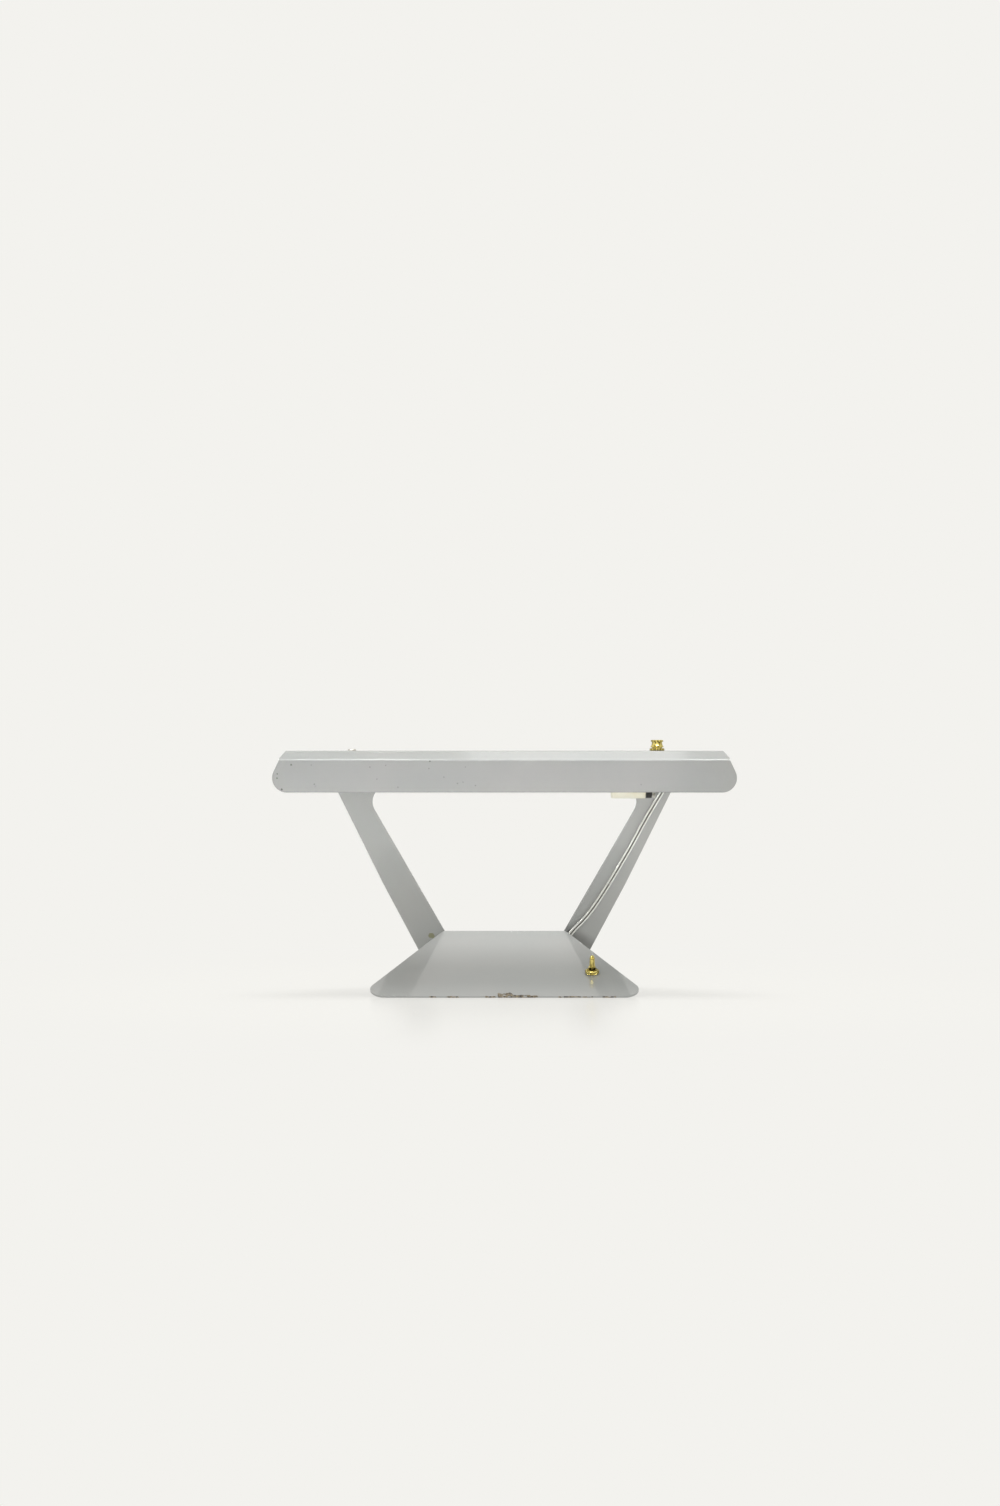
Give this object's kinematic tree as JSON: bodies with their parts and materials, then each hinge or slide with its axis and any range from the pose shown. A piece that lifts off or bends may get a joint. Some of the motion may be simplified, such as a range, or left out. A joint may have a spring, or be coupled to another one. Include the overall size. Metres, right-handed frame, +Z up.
{
  "type": "table lamp",
  "caption": "Table lamp folded from one painted steel sheet: tongue foot, two leaning arms and a long shade over a short fluorescent tube, with a toggle switch on the foot.",
  "frame": {"origin": "middle of the footprint of the outer box, on the table", "axes": "+X to the lamp's right seen from its front, along the shade; +Y to the back; +Z up"},
  "size_m": [0.4644, 0.189, 0.2578],
  "materials": {
    "paint": "pale grey semi-gloss stoving enamel, chipped and rusted at the edges",
    "tube_glass": "white phosphor-coated glass",
    "aluminium": "satin",
    "brass": "turned and lightly tarnished",
    "white_plastic": "moulded",
    "cream_plastic": "moulded",
    "black_plastic": "moulded phenolic",
    "steel": "zinc plated",
    "lamination": "varnished laminations",
    "winding": "varnished paper and wire",
    "rubber": "moulded",
    "flex": "clear-ivory twin flex",
    "lead": "insulated wire"
  },
  "bodies": {
    "lamp": {"folded_body": "paint", "lampholder_left": "white_plastic", "lampholder_right": "white_plastic", "holder_contacts": "brass", "holder_spacer": "steel", "top_stud": "brass", "top_washer": "brass", "thumb_nut": "brass", "top_screw": "steel", "starter_socket": "black_plastic", "starter_bracket": "steel", "socket_screws": "steel", "choke_frame": "steel", "choke_core": "lamination", "choke_windings": "winding", "choke_screws": "steel", "choke_nuts": "steel", "foot_terminals": "black_plastic", "foot_terminals_screws": "brass", "shade_terminals": "black_plastic", "shade_terminals_screws": "brass", "terminal_screws": "steel", "earth_screw": "brass", "earth_tag": "brass", "earth_nut": "brass", "lead_grommet": "rubber", "switch_bushing": "brass", "switch_ring_nut": "brass", "switch_lock_nut": "brass", "switch_case": "black_plastic", "switch_tabs": "brass", "arm_flex": "flex", "shade_lead_left": "lead", "shade_lead_right": "lead", "starter_lead": "lead", "switch_lead_live": "lead", "switch_lead_load": "lead"},
    "tube": {"tube_glass": "tube_glass", "tube_end_caps": "aluminium", "tube_pins": "brass", "holder_rotors": "white_plastic"},
    "starter": {"starter_canister": "cream_plastic", "starter_base": "black_plastic", "starter_pins": "brass"},
    "lever": {"switch_lever": "brass"}
  },
  "joints": [
    {"name": "switch_toggle", "type": "hinge", "parent": "lamp", "child": "lever", "pos_m": [0.089, -0.03541, 0.01879], "axis": [1, 0, 0], "range_deg": [0, 24]},
    {"name": "tube_twist", "type": "hinge", "parent": "lamp", "child": "tube", "pos_m": [0, -0.05514, 0.2255], "axis": [1, 0, 0], "range_deg": [0, 90]},
    {"name": "starter_twist", "type": "hinge", "parent": "lamp", "child": "starter", "pos_m": [0.1255, -0.03314, 0.209], "axis": [1, 0, 0], "range_deg": [0, 40]}
  ]
}
